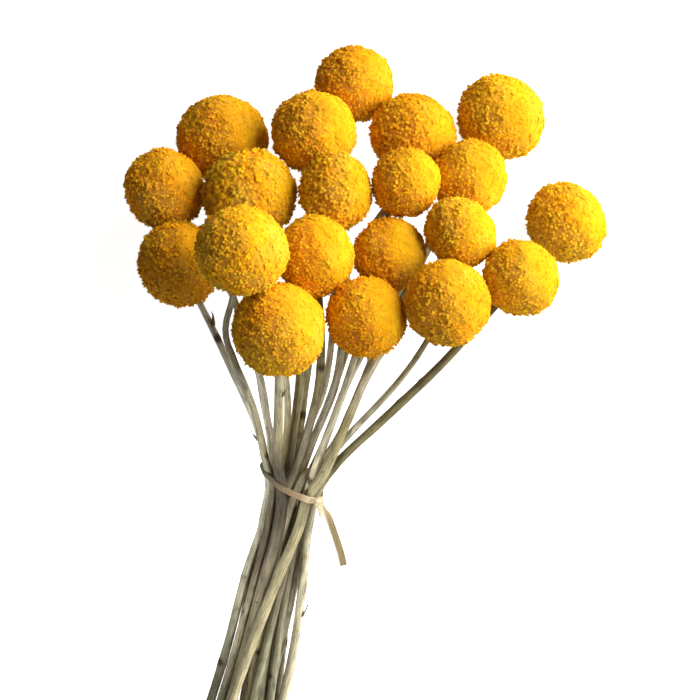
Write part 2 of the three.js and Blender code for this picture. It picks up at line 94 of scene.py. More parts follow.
def addCamera():
    deselectAll()
    bpy.ops.object.camera_add(location=(view["aimX"], view["aimY"], view["height"]),
                              rotation=(0, 0, 0))
    camera = bpy.context.object
    camera.data.sensor_width = view["sensor"]
    camera.data.lens = view["lens"]
    camera.data.clip_end = view["farthest"]
    bpy.context.scene.camera = camera


def addLamp(kind, name, aim):
    towards = Vector(studio[name + "From"]).normalized()
    deselectAll()
    bpy.ops.object.light_add(type=kind, location=Vector(aim) + towards * studio[name + "Distance"])
    lamp = bpy.context.object
    lamp.name = name + "Lamp"
    lamp.rotation_euler = towards.to_track_quat("Z", "Y").to_euler()
    lamp.data.energy = studio[name + "Power"]
    return lamp.data


def addLamps():
    for name in ("key", "rim"):
        lamp = addLamp("AREA", name, studio["headsMiddle"])
        lamp.shape = "DISK"
        lamp.size = studio[name + "Size"]
        lamp.color = studio[name + "Colour"]
    lamp = addLamp("SPOT", "fill", studio["stemsMiddle"])
    lamp.spot_size = studio["fillCone"]
    lamp.spot_blend = studio["fillBlend"]
    lamp.shadow_soft_size = studio["fillSoftness"]


def addSky():
    world = bpy.data.worlds.new("studioAir")
    bpy.context.scene.world = world
    world.use_nodes = True
    tree, links = world.node_tree.nodes, world.node_tree.links
    air = tree["Background"]
    air.inputs["Color"].default_value = (*studio["skyColour"], 1)
    sight = tree.new("ShaderNodeLightPath")
    strength = tree.new("ShaderNodeMath")
    strength.operation = "MULTIPLY_ADD"
    strength.inputs[1].default_value = studio["skyGlow"]
    strength.inputs[2].default_value = studio["skyStrength"]
    links.new(sight.outputs["Is Camera Ray"], strength.inputs[0])
    links.new(strength.outputs[0], air.inputs["Strength"])


def addFloor():
    deselectAll()
    bpy.ops.mesh.primitive_plane_add(size=studio["floorSize"], location=(0, 0, 0))
    floor = bpy.context.object
    floor.name = "studioFloor"
    card = bpy.data.materials.new("whiteCard")
    card.use_nodes = True
    tree, links = card.node_tree.nodes, card.node_tree.links
    shader = tree["Principled BSDF"]
    shader.inputs["Base Color"].default_value = (*studio["floorColour"], 1)
    shader.inputs["Roughness"].default_value = studio["floorRoughness"]
    shader.inputs["Emission Color"].default_value = (1, 1, 1, 1)
    where = tree.new("ShaderNodeTexCoord")
    away = tree.new("ShaderNodeVectorMath")
    away.operation = "DISTANCE"
    away.inputs[1].default_value = studio["shadeMiddle"]
    links.new(where.outputs["Object"], away.inputs[0])
    # the glow fades out near the waist: a painted shadow on the floor
    shade = tree.new("ShaderNodeMapRange")
    for name, value in zip(("From Min", "From Max", "To Min", "To Max"),
                           (*studio["shadeReach"], 0, studio["floorGlow"])):
        shade.inputs[name].default_value = value
    links.new(away.outputs["Value"], shade.inputs["Value"])
    sight = tree.new("ShaderNodeLightPath")
    glow = tree.new("ShaderNodeMath")
    glow.operation = "MULTIPLY"
    links.new(sight.outputs["Is Camera Ray"], glow.inputs[0])
    links.new(shade.outputs["Result"], glow.inputs[1])
    links.new(glow.outputs[0], shader.inputs["Emission Strength"])
    floor.data.materials.append(card)


addCamera()
bpy.context.scene.view_settings.view_transform = "Standard"
addSky()
addFloor()
addLamps()
print("camera, floor and lamps are set")


weldReach = 0.00001         # a CAD node's mesh is loose triangles, joined within this reach
cadStemSides = 8


def clamped(value):
    return min(max(value, 0), 1)


def cleanCopy(name):
    shell = bmesh.new()
    shell.from_mesh(nodes[name].data)
    bmesh.ops.remove_doubles(shell, verts=shell.verts, dist=weldReach)
    return shell


def stemLine(number):       # the rings of the CAD stem from its head to its cut end
    shell = cleanCopy(f"stem_{number}")
    caps = [v for v in shell.verts if len(v.link_edges) == cadStemSides]
    ring = {max(caps, key=lambda v: v.co.y)}
    seen = set(ring)
    line = []
    while True:
        ring = {e.other_vert(v) for v in ring for e in v.link_edges} - seen
        if len(ring) < 3:   # past the last ring
            break
        seen |= ring
        spots = [v.co for v in sorted(ring, key=lambda v: tuple(v.co))]     # a set has no order
        middle = sum(spots, Vector()) / len(spots)
        radius = sum((spot - middle).length for spot in spots) / len(spots)
        line.append((middle, radius))
    shell.free()
    return line


def addAttributes(piece, **kinds):
    for name, kind in kinds.items():
        piece.data.attributes.new(name, kind, "POINT")
    return [piece.data.attributes[name] for name in kinds]   # read back once all are there


def finishPiece(piece, node, material):
    piece.name = node + "_look"
    piece.data.name = piece.name
    piece.data.materials.clear()
    piece.data.materials.append(material)
    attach(piece, "root")
    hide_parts(node)


stemNumbers = [f"{n:02d}" for n in range(1, 21)]
stemLines = {number: stemLine(number) for number in stemNumbers}
print("stems read from the frame:", {len(line) for line in stemLines.values()})


def newMaterial(name):
    material = bpy.data.materials.new(name)
    material.use_nodes = True
    return material, material.node_tree.nodes, material.node_tree.links


def attribute(tree, name, output="Fac"):
    reader = tree.new("ShaderNodeAttribute")
    reader.attribute_name = name
    return reader.outputs[output]


def stretched(tree, links, vector, scale):
    mapping = tree.new("ShaderNodeMapping")
    mapping.inputs["Scale"].default_value = scale
    links.new(vector, mapping.inputs["Vector"])
    return mapping.outputs["Vector"]


def noiseOver(tree, links, vector, grade):
    texture = tree.new("ShaderNodeTexNoise")
    for name, value in zip(("Scale", "Detail", "Roughness"), grade):
        texture.inputs[name].default_value = value
    links.new(vector, texture.inputs["Vector"])
    return texture.outputs["Fac"]


def ramped(tree, links, value, stops):
    ramp = tree.new("ShaderNodeValToRGB")
    elements = ramp.color_ramp.elements
    while len(elements) < len(stops):
        elements.new(0.5)
    for element, (place, colour) in zip(elements, stops):
        element.position = place
        element.color = (*colour, 1)
    links.new(value, ramp.inputs["Fac"])
    return ramp.outputs["Color"]


def multiply(tree, links, first, second):
    mix = tree.new("ShaderNodeMix")
    mix.data_type = "RGBA"
    mix.blend_type = "MULTIPLY"
    mix.inputs["Factor"].default_value = 1
    links.new(first, mix.inputs["A"])
    links.new(second, mix.inputs["B"])
    return mix.outputs["Result"]


def blend(tree, links, amount, first, second):
    mix = tree.new("ShaderNodeMix")
    mix.data_type = "RGBA"
    links.new(amount, mix.inputs["Factor"])
    links.new(first, mix.inputs["A"])
    links.new(second, mix.inputs["B"])
    return mix.outputs["Result"]


def setShader(tree, links, look, colour):
    shader = tree["Principled BSDF"]
    links.new(colour, shader.inputs["Base Color"])
    shader.inputs["Roughness"].default_value = look["roughness"]
    shader.inputs["Specular IOR Level"].default_value = look["specular"]
    return shader


def addBump(tree, links, look, height):
    bump = tree.new("ShaderNodeBump")
    bump.inputs["Strength"].default_value = look["bump"]
    bump.inputs["Distance"].default_value = look["bumpHeight"]
    links.new(height, bump.inputs["Height"])
    links.new(bump.outputs["Normal"], tree["Principled BSDF"].inputs["Normal"])


stemShape = {
    "sides": 24,
    "ringStep": 3 * mm,       # along the stem
    "spans": 8,               # it is cut into these first, then each into rings
    "look": 1.03,             # radius as a share of the CAD stem's
    "thick": {"16": 0.93, "18": 1.12},      # these are thinner or thicker than their CAD stem
    "ridges": 8,
    "ridgeDepth": 0.07,       # as a share of the radius
    "ridgeTwist": 9.0,        # turns of the ridges per metre
    "waver": 0.06,
    "waverLength": 9 * mm,
    "firstNode": (14 * mm, 40 * mm),        # from the head
    "nodeGap": (26 * mm, 58 * mm),
    "lastNode": 12 * mm,      # from the cut end
    "nodeStrength": (0.6, 1.3),
    "nodeLength": 1.1 * mm,
    "nodeRise": 0.16,
    "nodeRound": 0.35,        # how far a node also swells on its far side
    "pithRim": 0.28,          # the cut end's rings, as shares of the radius
    "pithHeart": 0.3,
    "pithDepth": 0.5 * mm,
    "floorGap": 0.03 * mm,
}
stalkTones = {
    "greyGreen": (0.30, 0.29, 0.20),
    "greyOlive": (0.37, 0.33, 0.20),
    "greyBrown": (0.22, 0.19, 0.135),
    "darkGreen": (0.16, 0.145, 0.07),
    "deepOlive": (0.20, 0.175, 0.085),
    "olive": (0.28, 0.235, 0.115),
    "yellowOlive": (0.48, 0.43, 0.23),
    "paleYellow": (0.46, 0.41, 0.26),
    "paleGrey": (0.46, 0.43, 0.32),
    "paleBeige": (0.58, 0.53, 0.39),
    "silver": (0.64, 0.62, 0.52),
    "cream": (0.70, 0.64, 0.46),
    "darkBrown": (0.13, 0.105, 0.065),
    "umber": (0.07, 0.056, 0.035),
}
# each stem's colours from its head to its cut end, at the marks below: partly its own colours,
# partly painted light, paler where it lies in shade among the other stems and darker in a few
# places where it faces the lamp
stemColoursWithPaintedLight = {
    "01": ("paleYellow", "yellowOlive", "greyOlive", "olive", "olive", "greyGreen"),
    "02": ("greyGreen", "greyGreen", "darkBrown", "darkBrown", "greyGreen", "greyGreen"),
    "03": ("yellowOlive", "greyOlive", "paleBeige", "olive", "greyGreen", "olive"),
    "04": ("olive", "olive", "greyOlive", "paleGrey", "paleGrey", "paleGrey"),
    "05": ("olive", "yellowOlive", "yellowOlive", "paleBeige", "paleBeige", "yellowOlive"),
    "06": ("silver", "silver", "greyGreen", "darkBrown", "darkBrown", "greyGreen"),
    "07": ("cream", "greyOlive", "olive", "darkBrown", "greyGreen", "greyGreen"),
    "08": ("paleBeige", "paleGrey", "paleGrey", "yellowOlive", "paleBeige", "paleBeige"),
    "09": ("silver", "silver", "cream", "paleGrey", "paleGrey", "greyGreen"),
    "10": ("paleGrey", "cream", "paleBeige", "greyGreen", "greyBrown", "greyGreen"),
    "11": ("darkGreen", "olive", "olive", "greyGreen", "greyGreen", "greyBrown"),
    "12": ("silver", "silver", "silver", "paleGrey", "paleGrey", "greyGreen"),
    "13": ("paleGrey", "greyOlive", "greyGreen", "darkBrown", "darkBrown", "cream"),
    "14": ("olive", "greyBrown", "greyBrown", "greyGreen", "greyGreen", "greyGreen"),
    "15": ("yellowOlive", "olive", "cream", "cream", "cream", "cream"),
    "16": ("paleBeige", "olive", "greyOlive", "greyOlive", "greyOlive", "paleYellow"),
    "17": ("deepOlive", "deepOlive", "darkGreen", "paleGrey", "paleBeige", "paleBeige"),
    "18": ("paleBeige", "greyOlive", "umber", "umber", "greyBrown", "greyOlive"),
    "19": ("paleGrey", "paleGrey", "cream", "olive", "darkBrown", "greyGreen"),
    "20": ("greyOlive", "paleGrey", "cream", "cream", "paleBeige", "paleGrey"),
}
toneMarks = [y * mm for y in (95, 80, 66, 50, 32, 0)]


def toneAt(tones, y):
    if y >= toneMarks[0]:
        return tones[0]
    for above, below, tone, nextTone in zip(toneMarks, toneMarks[1:], tones, tones[1:]):
        if y >= below:
            return tone.lerp(nextTone, (above - y) / (above - below))
    return tones[-1]


def routeCurve(line):
    deselectAll()
    bpy.ops.curve.primitive_bezier_curve_add(location=(0, 0, 0))
    route = bpy.context.object
    spline = route.data.splines[0]
    spline.bezier_points.add(len(line) - 2)
    for point, (middle, _) in zip(spline.bezier_points, line):
        point.co = middle
        point.handle_left_type = point.handle_right_type = "AUTO"
    route.data.resolution_u = 24
    route.data.twist_mode = "MINIMUM"
    bpy.context.view_layer.update()
    return route


def stemNodes(dice, length):
    places = []
    along = dice.uniform(*stemShape["firstNode"])
    while along < length - stemShape["lastNode"]:
        places.append((along, dice.uniform(0, math.tau), dice.uniform(*stemShape["nodeStrength"])))
        along += dice.uniform(*stemShape["nodeGap"])
    return places


def cutLengthwise(stem, parts):
    bpy.ops.mesh.select_mode(type="EDGE")
    bpy.ops.mesh.select_all(action="DESELECT")
    shell = bmesh.from_edit_mesh(stem.data)
    for edge in shell.edges:
        rise = abs(edge.verts[0].co.z - edge.verts[1].co.z)
        edge.select_set(rise > 1 * mm)      # a ring's own edges lie level
    shell.select_flush_mode()
    bmesh.update_edit_mesh(stem.data)
    bpy.ops.mesh.subdivide(number_cuts=parts - 1)


def makeStem(number, material):
    line = stemLines[number]
    dice = random.Random(int(number) * 7 + 3)
    route = routeCurve(line)
    length = route.data.splines[0].calc_length()
    steps = [(b[0] - a[0]).length for a, b in zip(line, line[1:])]
    marks = [length * sum(steps[:n]) / sum(steps) for n in range(len(line))]
    deselectAll()
    bpy.ops.mesh.primitive_cylinder_add(vertices=stemShape["sides"], radius=1, depth=length,
                                        location=(0, 0, length / 2))
    stem = bpy.context.object
    bpy.ops.object.transform_apply(location=True)
    bpy.ops.object.mode_set(mode="EDIT")
    cutLengthwise(stem, stemShape["spans"])
    cutLengthwise(stem, int(length / stemShape["ringStep"] / stemShape["spans"]))
    bpy.ops.mesh.select_mode(type="FACE")
    bpy.ops.mesh.select_all(action="DESELECT")
    shell = bmesh.from_edit_mesh(stem.data)
    for face in shell.faces:
        face.select_set(face.normal.z > 0.9)        # the cut end
    bmesh.update_edit_mesh(stem.data)
    bpy.ops.mesh.inset(thickness=stemShape["pithRim"])
    bpy.ops.transform.translate(value=(0, 0, -stemShape["pithDepth"]))
    bpy.ops.mesh.inset(thickness=stemShape["pithHeart"])
    bpy.ops.mesh.poke()
    bpy.ops.object.mode_set(mode="OBJECT")

    nodePlaces = stemNodes(dice, length)
    grain, tint, scar = addAttributes(stem, grain="FLOAT_VECTOR", tint="FLOAT_COLOR", scar="FLOAT")
    tones = [Vector(stalkTones[name]) for name in stemColoursWithPaintedLight[number]]
    phase = dice.uniform(0, math.tau)
    look = stemShape["look"] * stemShape["thick"].get(number, 1)
    for v in stem.data.vertices:
        along = min(max(v.co.z, 0), length)
        spot = max(n for n in range(len(line)) if marks[n] <= along + 1e-9)
        spot = min(spot, len(line) - 2)
        share = (along - marks[spot]) / (marks[spot + 1] - marks[spot])
        radius = line[spot][1] * (1 - share) + line[spot + 1][1] * share
        angle = math.atan2(v.co.y, v.co.x)
        rim = math.hypot(v.co.x, v.co.y)        # 1 on the skin, less on the cut end
        ridge = math.cos(stemShape["ridges"] * angle + phase
                         + along * stemShape["ridgeTwist"] * math.tau)
        waver = noise.noise(Vector((v.co.x * 0.7, v.co.y * 0.7,
                                    along / stemShape["waverLength"] + phase * 5)))
        rise = mark = 0
        for nodeAlong, nodeAngle, strength in nodePlaces:
            off = (along - nodeAlong) / stemShape["nodeLength"]
            if abs(off) > 4:
                continue
            turned = math.cos(angle - nodeAngle)
            swell = stemShape["nodeRound"] + (1 - stemShape["nodeRound"]) * max(turned, 0)
            rise += strength * swell * math.exp(-off * off)
            mark += strength * max(turned + 0.2, 0) * math.exp(-(off * 1.3 - 0.6) ** 2)
        size = radius * look * (1 + stemShape["ridgeDepth"] * (ridge - 1) / 2
                                + stemShape["waver"] * (waver - 0.3) + stemShape["nodeRise"] * rise)
        grain.data[v.index].vector = (v.co.x * radius, v.co.y * radius, along)
        scar.data[v.index].value = min(mark, 1) if rim > 0.9 else 0
        # partly the stem's own colour, partly painted light and shade
        colour = toneAt(tones, line[spot][0].y * (1 - share) + line[spot + 1][0].y * share)
        if rim < 0.8 and v.co.z > length / 2:
            colour = Vector(stalkTones["cream"])
        tint.data[v.index].color = (*colour, 1)
        v.co.x *= size
        v.co.y *= size
    bpy.ops.object.shade_smooth()
    bend = stem.modifiers.new("bend", "CURVE")
    bend.object = route
    bend.deform_axis = "POS_Z"
    selectOnly(stem)
    bpy.ops.object.modifier_apply(modifier="bend")
    bpy.data.objects.remove(route)
    for v in stem.data.vertices:
        v.co.z = max(v.co.z, stemShape["floorGap"])
    finishPiece(stem, f"stem_{number}", material)
    return len(stem.data.polygons)


stalkLook = {
    "streakStretch": (1, 1, 0.06),
    "streaks": (2600, 4, 0.6),          # a noise's scale, detail and roughness
    "streakTones": [(0.3, (0.45, 0.43, 0.39)), (0.5, (0.97, 0.97, 0.94)), (0.7, (1.4, 1.38, 1.3))],
    "blotchStretch": (1, 1, 0.3),
    "blotches": (420, 5, 0.6),
    "blotchTones": [(0.3, (0.42, 0.38, 0.33)), (0.44, (0.9, 0.9, 0.88)),
                    (0.58, (1.02, 1.02, 1.0)), (0.72, (1.32, 1.24, 1.1))],
    "flecks": (900, 2, 0.5),
    "fleckTones": [(0.24, (0.22, 0.18, 0.15)), (0.33, (1, 1, 1))],
    "scarTones": [(0.25, (1, 1, 1)), (0.75, (0.2, 0.15, 0.12))],
    "bump": 0.5,
    "bumpHeight": 0.12 * mm,
    "roughness": 0.62,
    "specular": 0.3,
}


def stalkMaterial():
    material, tree, links = newMaterial("driedStalk")
    grain = attribute(tree, "grain", "Vector")
    lengthwise = stretched(tree, links, grain, stalkLook["streakStretch"])
    streaks = noiseOver(tree, links, lengthwise, stalkLook["streaks"])
    patches = stretched(tree, links, grain, stalkLook["blotchStretch"])
    blotches = noiseOver(tree, links, patches, stalkLook["blotches"])
    flecks = noiseOver(tree, links, grain, stalkLook["flecks"])
    scar = attribute(tree, "scar")
    colour = attribute(tree, "tint", "Color")
    for mark, tones in ((streaks, "streakTones"), (blotches, "blotchTones"),
                        (flecks, "fleckTones"), (scar, "scarTones")):
        colour = multiply(tree, links, colour, ramped(tree, links, mark, stalkLook[tones]))
    setShader(tree, links, stalkLook, colour)
    addBump(tree, links, stalkLook, streaks)
    return material


stalkFinish = stalkMaterial()
stemFaces = [makeStem(number, stalkFinish) for number in stemNumbers]
print("stems made, faces:", sum(stemFaces), min(stemFaces), max(stemFaces))


tieShape = {
    "middle": Vector((-11.04, 61.2, 38)) * mm,
    "slant": math.radians(29),
    "lean": math.radians(18),
    "knot": Vector((-2.13, 54.64, 46.27)) * mm,
    "levels": [n * 0.3 * mm for n in range(-9, 5)],     # where the stems under it are measured
    "near": 6 * mm,           # from the band's middle plane, where stems are looked at
    "cornerSteps": 4,
    "hug": 0.1 * mm,
    "step": 0.3 * mm,         # along the strip
    "across": 16,
    "thickness": 0.28 * mm,
    "fibre": 0.11 * mm,       # height of the lengthwise fibres
    "fibreLength": 16 * mm,
    "ragged": 0.08,           # of its edges, as a share of its width
    "raggedLength": 2.5 * mm,
    "cup": 0.12 * mm,
    "sag": 1.2 * mm,          # its front slips this far towards the cut ends
    "sagMiddle": 1 * mm,
    "sagReach": 7 * mm,
    "wobble": 0.16 * mm,
    "wobbleLength": 5 * mm,
    "narrow": 0.62 * mm,      # half widths, and where across the bunch they are reached
    "narrowAt": -12 * mm,
    "wide": 1.3 * mm,
    "wideAt": 8 * mm,
    "knotSteps": 40,
    "knotTwist": 0.3 * mm,
    "knotCore": 1.45 * mm,
}
raffiaTones = {
    "olive": Vector((0.13, 0.11, 0.06)),
    "pink": Vector((0.33, 0.23, 0.14)),
    "tan": Vector((0.32, 0.25, 0.135)),
    "cream": Vector((0.86, 0.74, 0.48)),
    "brown": Vector((0.2, 0.1, 0.055)),
}
# from the knot's middle: the place, which way its flat side faces, half its width (mm)
tailMarks = [
    ((0.4, 0.2, -0.3), (0.9, 0.3, 0.3), 0.8), ((1.7, -2.4, 0.1), (0.75, 0.35, 0.6), 1.0),
    ((3.5, -5.9, -0.4), (0.2, 0.1, 1), 1.2), ((5.2, -10.9, -1.8), (-0.1, -0.3, 1), 1.22),
    ((7.0, -16.6, -3.6), (0.1, -0.3, 1), 1.25), ((8.3, -21.9, -5.4), (-0.15, -0.3, 1), 1.25),
]
stubMarks = [
    ((-0.3, -0.2, 0.8), (0.2, 0.3, 1), 0.7), ((0.3, -2.6, 1.5), (-0.1, 0.3, 1), 0.65),
    ((0.5, -5.2, 1.7), (-0.3, 0, 1), 0.45),
]
bandAcross = Vector((math.cos(tieShape["slant"]), -math.sin(tieShape["slant"]), 0))
bandUp = Matrix.Rotation(tieShape["lean"], 3, bandAcross) @ Vector((0, 0, 1))
bandNormal = bandUp.cross(bandAcross)


def bandSag(spot):
    off = (spot.x - tieShape["sagMiddle"]) / tieShape["sagReach"]
    return tieShape["sag"] * math.exp(-off ** 2) if spot.y > 0 else 0


def bandHalf(spot):
    share = clamped((spot.x - tieShape["narrowAt"]) / (tieShape["wideAt"] - tieShape["narrowAt"]))
    return tieShape["narrow"] + (tieShape["wide"] - tieShape["narrow"]) * share


def stemSections():
    spots = []
    for number in stemNumbers:
        stem = bpy.data.objects[f"stem_{number}_look"].data
        near = {v.index: v.co - tieShape["middle"] for v in stem.vertices}
        near = {n: place for n, place in near.items()
                if abs(place.dot(bandNormal)) < tieShape["near"]}
        for edge in stem.edges:
            a, b = (near.get(n) for n in edge.vertices)
            if a is None or b is None:
                continue
            for level in tieShape["levels"]:
                before, after = a.dot(bandNormal) - level, b.dot(bandNormal) - level
                if before * after < 0:
                    spot = a.lerp(b, before / (before - after))
                    spot = Vector((spot.dot(bandAcross), spot.dot(bandUp)))
                    half = bandHalf(spot)
                    if -half - bandSag(spot) < level < half:
                        spots.append(spot)
    return spots


def tightLoop(spots, clearance):
    hull = [spots[n] for n in convex_hull_2d(spots)]
    middle = sum(hull, Vector((0, 0))) / len(hull)
    hull.sort(key=lambda spot: math.atan2(spot.y - middle.y, spot.x - middle.x))
    loop = []
    for before, here, after in zip(hull[-1:] + hull[:-1], hull, hull[1:] + hull[:1]):
        start = math.atan2(before.x - here.x, here.y - before.y)
        turn = (math.atan2(here.x - after.x, after.y - here.y) - start) % math.tau
        for n in range(tieShape["cornerSteps"] + 1):
            angle = start + turn * n / tieShape["cornerSteps"]
            out = Vector((math.cos(angle), math.sin(angle)))
            loop.append((here + out * clearance, out))
    return loop


def evenSteps(marks, step):
    arc = [0]
    for a, b in zip(marks, marks[1:]):
        arc.append(arc[-1] + (b[0] - a[0]).length)
    count = math.ceil(arc[-1] / step)
    walked = []
    for n in range(count + 1):
        along = arc[-1] * n / count
        spot = max(k for k in range(len(marks) - 1) if arc[k] <= along)
        share = (along - arc[spot]) / max(arc[spot + 1] - arc[spot], 1e-9)
        walked.append([a + (b - a) * share for a, b in zip(marks[spot], marks[spot + 1])])
    return walked


def smoothRoute(marks, steps):
    padded = [marks[0], *marks, marks[-1]]
    places = []
    for a, b, c, d in zip(padded, padded[1:], padded[2:], padded[3:]):
        for n in range(steps):
            t = n / steps
            places.append([
                (q * 2 + (r - p) * t + (p * 2 - q * 5 + r * 4 - s) * t * t
                 + (q * 3 - p - r * 3 + s) * t ** 3) * 0.5 for p, q, r, s in zip(a, b, c, d)])
    return places + [marks[-1]]


def makeStrip(route, stripTone, seed):
    last = len(route) - 1
    arc = [0]
    for a, b in zip(route, route[1:]):
        arc.append(arc[-1] + (b[0] - a[0]).length)
    deselectAll()
    bpy.ops.mesh.primitive_grid_add(x_subdivisions=last, y_subdivisions=tieShape["across"], size=2)
    strip = bpy.context.object
    grain, tint = addAttributes(strip, grain="FLOAT_VECTOR", tint="FLOAT_COLOR")
    for v in strip.data.vertices:
        n = round((v.co.x + 1) / 2 * last)
        side = v.co.y
        place, facing, half = route[n]
        along = (route[min(n + 1, last)][0] - route[max(n - 1, 0)][0]).normalized()
        wide = facing.cross(along).normalized()
        face = along.cross(wide)
        fibre = noise.noise(Vector((side * 6, arc[n] / tieShape["fibreLength"], seed)))
        edge = noise.noise(Vector((side * 0.7, arc[n] / tieShape["raggedLength"], seed + 9)))
        ragged = 1 + tieShape["ragged"] * edge
        lift = tieShape["fibre"] * fibre + tieShape["cup"] * (0.3 - side * side)
        grain.data[v.index].vector = (side * half, seed * 10 * mm, arc[n])
        tint.data[v.index].color = (*stripTone(arc[n] / arc[-1], side), 1)
        v.co = place + wide * (side * half * ragged) + face * lift
    bpy.ops.object.shade_smooth()
    solid = strip.modifiers.new("thickness", "SOLIDIFY")
    solid.thickness = tieShape["thickness"]
    solid.offset = 0
    selectOnly(strip)
    bpy.ops.object.modifier_apply(modifier="thickness")
    return strip


def bandRoute():
    loop = tightLoop(stemSections(), tieShape["hug"] + tieShape["thickness"] / 2)
    offset = tieShape["knot"] - tieShape["middle"]
    knotAngle = math.atan2(offset.dot(bandUp), offset.dot(bandAcross))
    first = min(range(len(loop)), key=lambda n: abs(math.remainder(
        math.atan2(loop[n][0].y, loop[n][0].x) - knotAngle, math.tau)))
    marks = []
    for spot, out in loop[first:] + loop[:first + 1]:
        wave = noise.noise(Vector((spot.x, spot.y, 0)) / tieShape["wobbleLength"])
        place = (tieShape["middle"] + bandAcross * spot.x + bandUp * spot.y
                 + bandNormal * (tieShape["wobble"] * wave - bandSag(spot)))
        marks.append((place, bandAcross * out.x + bandUp * out.y, bandHalf(spot)))
    return evenSteps(marks, tieShape["step"])


def bandTone(share, side):      # cream at the knot, then pink, then olive, with a brown edge towards the heads: partly brown fibres, partly a painted contact shadow
    fromKnot = min(share, 1 - share)
    tone = raffiaTones["cream"].lerp(raffiaTones["pink"], min(fromKnot / 0.07, 1))
    tone = tone.lerp(raffiaTones["olive"], clamped((fromKnot - 0.09) / 0.12))
    # the brown edge: partly the raffia's own, partly painted shadow
    return tone.lerp(raffiaTones["brown"], min(max(side - 0.62, 0) / 0.3, 0.85))


def endTone(share, side):
    tone = raffiaTones["cream"].lerp(raffiaTones["tan"], min(0.6 + share / 0.15, 1))
    return tone.lerp(raffiaTones["cream"], min(max(-side - 0.6, 0) / 0.3, 0.6))


def knotLoop(tilt, half, wideReach, highReach, lift):
    out = tieShape["knot"] - tieShape["middle"]
    out = (out - bandNormal * out.dot(bandNormal)).normalized()
    axis = (bandNormal + bandNormal.cross(out) * tilt).normalized()
    wide = out.cross(axis).normalized()
    route = []
    for n in range(tieShape["knotSteps"] + 1):
        angle = math.tau * n / tieShape["knotSteps"]
        facing = (wide * math.cos(angle) + out * math.sin(angle)).normalized()
        place = (tieShape["knot"] + out * (lift + highReach * math.sin(angle))
                 + wide * (wideReach * math.cos(angle))
                 + axis * (tieShape["knotTwist"] * math.sin(angle * 2)))
        route.append((place, facing, half * (1 + 0.15 * math.sin(angle * 3))))
    return route


def knotCore():
    deselectAll()
    bpy.ops.mesh.primitive_ico_sphere_add(subdivisions=4, radius=tieShape["knotCore"],
                                          location=(0, 0, 0))
    core = bpy.context.object
    grain, tint = addAttributes(core, grain="FLOAT_VECTOR", tint="FLOAT_COLOR")
    for v in core.data.vertices:
        grain.data[v.index].vector = (v.co.y, v.co.z, v.co.x)
        tint.data[v.index].color = (*raffiaTones["cream"], 1)
        v.co = tieShape["knot"] + v.co * (1 + 0.1 * noise.noise(v.co / (0.8 * mm)))
    bpy.ops.object.shade_smooth()
    return core


def makeTie(material):
    def fromKnot(marks):
        return [(tieShape["knot"] + Vector(place) * mm, Vector(facing).normalized(), half * mm)
                for place, facing, half in marks]

    def knotTone(share, side):
        return raffiaTones["cream"].lerp(raffiaTones["tan"], 0.35 * abs(side))

    strips = [
        makeStrip(bandRoute(), bandTone, 1),
        makeStrip(smoothRoute(fromKnot(tailMarks), 16), endTone, 2),
        makeStrip(smoothRoute(fromKnot(stubMarks), 12), knotTone, 3),
        makeStrip(knotLoop(0.5, 1.15 * mm, 1.75 * mm, 1.4 * mm, -0.1 * mm), knotTone, 4),
        makeStrip(knotLoop(-1.3, 0.8 * mm, 1.6 * mm, 1.65 * mm, 0.1 * mm), knotTone, 5),
        knotCore(),
    ]
    deselectAll()
    for strip in strips:
        strip.select_set(True)
    bpy.context.view_layer.objects.active = strips[0]
    bpy.ops.object.join()
    finishPiece(strips[0], "raffia_tie", material)
    return len(strips[0].data.polygons)


raffiaLook = {
    "fibreStretch": (1, 1, 0.04),
    "fibres": (4200, 3, 0.6),
    "fibreTones": [(0.3, (0.62, 0.58, 0.5)), (0.5, (0.97, 0.96, 0.94)), (0.7, (1.18, 1.17, 1.14))],
    "bump": 0.5,
    "bumpHeight": 0.08 * mm,
    "roughness": 0.55,
    "specular": 0.2,
}


def raffiaMaterial():
    material, tree, links = newMaterial("raffiaStrip")
    lengthwise = stretched(tree, links, attribute(tree, "grain", "Vector"),
                           raffiaLook["fibreStretch"])
    fibres = noiseOver(tree, links, lengthwise, raffiaLook["fibres"])
    setShader(tree, links, raffiaLook, multiply(
        tree, links, attribute(tree, "tint", "Color"),
        ramped(tree, links, fibres, raffiaLook["fibreTones"])))
    addBump(tree, links, raffiaLook, fibres)
    return material


print("tie made, faces:", makeTie(raffiaMaterial()))


leafShape = {
    "long": 0.9,              # as shares of the CAD scale's length and half width
    "wide": 1.45,
    "intoStem": 0.4 * mm,     # its foot clasps the stem
    "hug": 0.55 * mm,         # and its tip bends back towards it
    "taper": 1.6,
    "belly": 0.25,
    "tip": 0.06 * mm,
    "cup": 0.55,              # as a share of its half width
    "ripple": 0.3 * mm,
    "thickness": 0.13 * mm,
    "steps": (14, 8),
}


def scaleFrame(name):
    shell = cleanCopy(name)
    ring = [v.co.copy() for v in shell.verts if len(v.link_edges) == 4]
    ends = [v.co.copy() for v in shell.verts if len(v.link_edges) == 6]     # where its sides meet
    shell.free()
    foot = sum(ring, Vector()) / len(ring)
    apex = max(ends, key=lambda place: (place - foot).length)
    side = max(ring, key=lambda place: (place - foot).length) - foot
    onStem = []
    for line in stemLines.values():
        for (a, thick), (b, _) in zip(line, line[1:]):
            share = clamped((foot - a).dot(b - a) / (b - a).length_squared)
            onStem.append(((foot - a.lerp(b, share)).length - thick, a.lerp(b, share)))
    away = foot - min(onStem, key=lambda found: found[0])[1]
    return foot, apex - foot, side, away.normalized()


